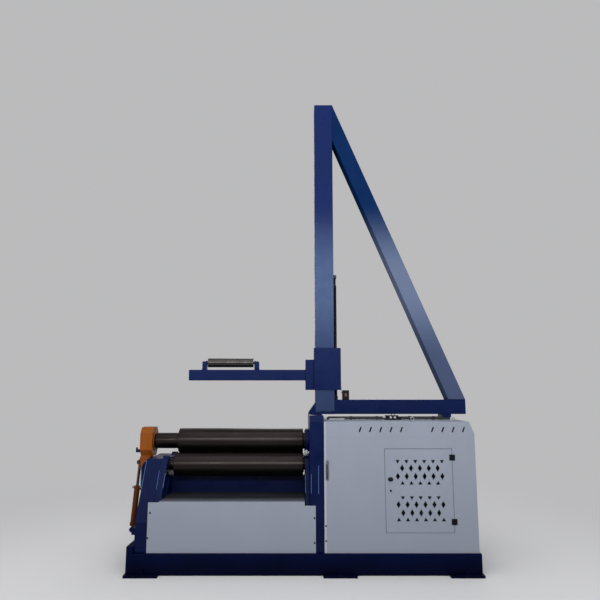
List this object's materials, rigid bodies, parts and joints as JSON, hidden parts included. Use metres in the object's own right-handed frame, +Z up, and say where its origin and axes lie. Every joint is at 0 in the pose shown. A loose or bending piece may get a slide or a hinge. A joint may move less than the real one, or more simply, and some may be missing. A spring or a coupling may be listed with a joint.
{
  "type": "conical plate rolling machine",
  "caption": "Plate and cone rolling machine with slanting side rolls, a tilting drop end, an equipment cabinet and an overhead support arm on a post.",
  "frame": {"origin": "on the floor under the middle of the base frame, on the underside of its cross beam", "axes": "+X along the rolls from the drop end to the cabinet, -Y to the front, +Z up"},
  "size_m": [3.2863, 1.38, 4.6],
  "materials": {
    "navy_paint": "gloss paint",
    "panel_paint": "fine powder coat",
    "orange_paint": "gloss paint",
    "roll_steel": "dark turned forged steel",
    "machined_steel": "machined and oiled",
    "chrome": "hard chrome",
    "black_plastic": "matt"
  },
  "bodies": {
    "machine": {"base_front_beam": "navy_paint", "base_rear_beam": "navy_paint", "base_left_beam": "navy_paint", "base_right_beam": "navy_paint", "base_cross_beam": "navy_paint", "base_end_rail": "navy_paint", "anchor_pads": "navy_paint", "idle_housing": "navy_paint", "drive_housing": "navy_paint", "idle_guides": "navy_paint", "drive_guides": "navy_paint", "centre_tie": "navy_paint", "drop_end_hinge": "navy_paint", "drop_cylinder_bracket": "navy_paint", "overhead_post": "navy_paint", "post_foot": "navy_paint", "overhead_beam": "navy_paint", "beam_foot": "navy_paint", "overhead_brace": "navy_paint", "lift_cylinder": "navy_paint", "front_deck": "panel_paint", "rear_deck": "panel_paint", "front_cover": "panel_paint", "rear_cover": "panel_paint", "cabinet_front": "panel_paint", "cabinet_rear": "panel_paint", "cabinet_side": "panel_paint", "cabinet_top": "panel_paint", "cabinet_floor": "panel_paint", "top_roll_bearing": "machined_steel", "cabinet_hinge_leaves": "black_plastic", "limit_switch_box": "black_plastic"},
    "top_roll": {"top_roll": "roll_steel"},
    "front_slides": {"front_roll_idle_bearing": "machined_steel", "front_roll_drive_bearing": "machined_steel"},
    "front_roll": {"front_roll": "roll_steel"},
    "rear_slides": {"rear_roll_idle_bearing": "machined_steel", "rear_roll_drive_bearing": "machined_steel"},
    "rear_roll": {"rear_roll": "roll_steel"},
    "drop_end": {"drop_end_yoke": "orange_paint", "drop_end_bearing_ring": "machined_steel", "drop_end_cap": "orange_paint", "drop_end_lever_pin": "machined_steel"},
    "drop_cylinder": {"drop_end_cylinder": "orange_paint"},
    "drop_rod": {"drop_end_cylinder_rod": "chrome"},
    "carriage": {"lift_carriage": "navy_paint", "arm_bracket": "navy_paint", "support_arm": "navy_paint", "support_roller_ears": "navy_paint", "lift_link": "machined_steel"},
    "support_roller": {"support_roller": "machined_steel"},
    "door": {"cabinet_door": "panel_paint", "door_hinge_leaves": "black_plastic", "door_lock": "black_plastic"}
  },
  "joints": [
    {"name": "top_roll_spin", "type": "hinge", "parent": "machine", "child": "top_roll", "pos_m": [-0.615, 0, 1.09], "axis": [1, 0, 0], "continuous": true},
    {"name": "front_roll_adjust", "type": "slide", "parent": "machine", "child": "front_slides", "axis": [0, 0.5299, 0.848], "range_m": [-0.15, 0.04]},
    {"name": "front_roll_spin", "type": "hinge", "parent": "front_slides", "child": "front_roll", "pos_m": [-0.615, -0.18, 0.88], "axis": [1, 0, 0], "continuous": true},
    {"name": "rear_roll_adjust", "type": "slide", "parent": "machine", "child": "rear_slides", "axis": [0, -0.5299, 0.848], "range_m": [-0.15, 0.04]},
    {"name": "rear_roll_spin", "type": "hinge", "parent": "rear_slides", "child": "rear_roll", "pos_m": [-0.615, 0.18, 0.88], "axis": [1, 0, 0], "continuous": true},
    {"name": "drop_end_tilt", "type": "hinge", "parent": "machine", "child": "drop_end", "pos_m": [-1.538, 0, 0.835], "axis": [0, -1, 0], "range_deg": [0, 75]},
    {"name": "drop_cylinder_swing", "type": "hinge", "parent": "machine", "child": "drop_cylinder", "pos_m": [-1.66, 0, 0.252], "axis": [0, 1, 0], "range_deg": [0, 1.62]},
    {"name": "drop_rod_slide", "type": "slide", "parent": "drop_cylinder", "child": "drop_rod", "axis": [0.0756, 0, 0.9971], "range_m": [-0.108, 0]},
    {"name": "carriage_lift", "type": "slide", "parent": "machine", "child": "carriage", "axis": [0, 0, 1], "range_m": [-0.07, 1]},
    {"name": "support_roller_spin", "type": "hinge", "parent": "carriage", "child": "support_roller", "pos_m": [-0.733, 0, 1.856], "axis": [1, 0, 0], "continuous": true},
    {"name": "cabinet_door_hinge", "type": "hinge", "parent": "machine", "child": "door", "pos_m": [1.3175, -0.607, 0.705], "axis": [0, 0, 1], "range_deg": [0, 110]}
  ],
  "couplings": [
    {"joint": "drop_cylinder_swing", "follows": "drop_end_tilt", "ratio": 0.021357},
    {"joint": "drop_rod_slide", "follows": "drop_end_tilt", "m_per_rad": -0.082143}
  ]
}
